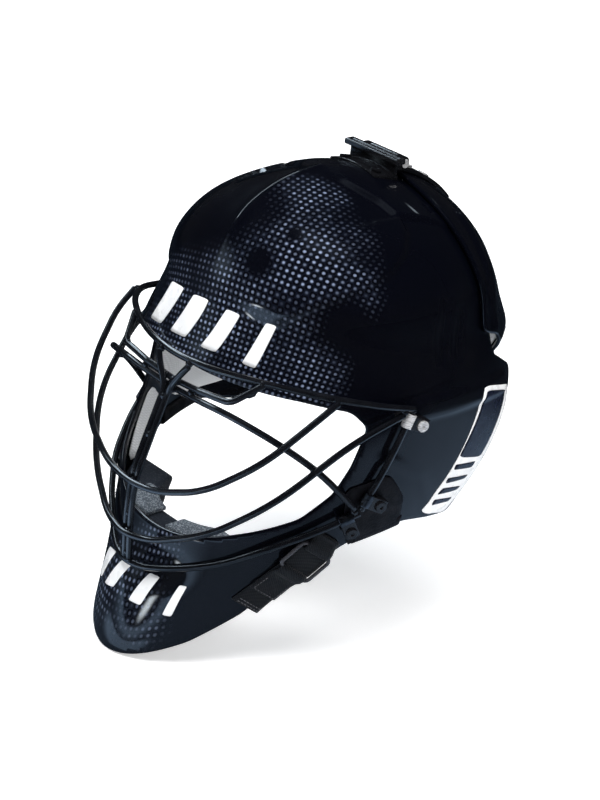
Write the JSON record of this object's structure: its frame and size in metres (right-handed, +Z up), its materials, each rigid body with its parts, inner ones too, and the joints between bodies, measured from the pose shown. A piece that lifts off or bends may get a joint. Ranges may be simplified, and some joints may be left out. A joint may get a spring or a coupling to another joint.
{
  "type": "goalkeeper mask",
  "caption": "Goalkeeper's mask with a glossy carbon-look shell, wire face cage, hinged backplate, jaw straps and foam liner.",
  "frame": {"origin": "centre of the wearer's head, on the middle plane", "axes": "+Z up as worn, -Y out of the face, +X to the wearer's left"},
  "size_m": [0.2366, 0.2749, 0.3005],
  "materials": {
    "carbon_laminate": "clear gloss over a navy-black woven laminate",
    "black_hardware": "moulded black, satin gloss",
    "bright_steel": "plated",
    "cage_wire": "gloss black powder coat",
    "clip_steel": "folded strip, satin",
    "black_leather": "smooth black synthetic leather",
    "black_webbing": "woven nylon webbing",
    "buckle_wire": "black coated wire",
    "pale_foam": "pale grey covered foam",
    "sweatband_cloth": "soft towelling",
    "dark_foam": "dense dark foam",
    "speckled_foam": "grey foam with dark specks"
  },
  "bodies": {
    "mask": {"mask_shell": "carbon_laminate", "crown_clip": "black_hardware", "crown_clip_screws": "bright_steel", "crown_clip_nuts": "bright_steel", "hinge_pin": "bright_steel", "cage_clip_screws": "bright_steel", "cage_clip_nuts": "bright_steel", "cage_brow_wire": "cage_wire", "cage_chin_wire": "cage_wire", "cage_brow_loop": "cage_wire", "cage_cross_wire": "cage_wire", "cage_upper_hoop": "cage_wire", "cage_lower_hoop": "cage_wire", "cage_side_wire_left": "cage_wire", "cage_side_wire_right": "cage_wire", "cage_centre_bar_left": "cage_wire", "cage_centre_bar_right": "cage_wire", "cage_clip_upper_left": "clip_steel", "cage_clip_upper_right": "clip_steel", "cage_clip_cheek_left": "clip_steel", "cage_clip_cheek_right": "clip_steel", "cage_clip_jaw_left": "clip_steel", "cage_clip_jaw_right": "clip_steel", "cheek_flap_left": "black_leather", "cheek_flap_right": "black_leather", "jaw_strap_anchor_left": "black_webbing", "jaw_strap_anchor_right": "black_webbing", "jaw_strap_tail_left": "black_webbing", "jaw_strap_tail_right": "black_webbing", "forehead_pad": "pale_foam", "crown_pad": "pale_foam", "side_pad_left": "pale_foam", "side_pad_right": "pale_foam", "jaw_pad_left": "pale_foam", "jaw_pad_right": "pale_foam", "sweatband": "sweatband_cloth", "chin_foam": "dark_foam", "chin_foam_inserts": "speckled_foam"},
    "backplate": {"backplate": "carbon_laminate", "rear_arm": "black_hardware", "rear_arm_rivets": "bright_steel", "rear_pad": "pale_foam"},
    "buckle_left": {"jaw_buckle_left": "buckle_wire"},
    "buckle_right": {"jaw_buckle_right": "buckle_wire"}
  },
  "joints": [
    {"name": "backplate_hinge", "type": "hinge", "parent": "mask", "child": "backplate", "pos_m": [0, 0.038, 0.1055], "axis": [1, 0, 0], "range_deg": [0, 35]},
    {"name": "jaw_buckle_left_tilt", "type": "hinge", "parent": "mask", "child": "buckle_left", "pos_m": [0.09192, -0.07427, -0.10206], "axis": [-0.2185, -0.7211, 0.6575], "range_deg": [0, 35]},
    {"name": "jaw_buckle_right_tilt", "type": "hinge", "parent": "mask", "child": "buckle_right", "pos_m": [-0.09192, -0.07427, -0.10206], "axis": [-0.2185, 0.7211, -0.6575], "range_deg": [0, 35]}
  ]
}
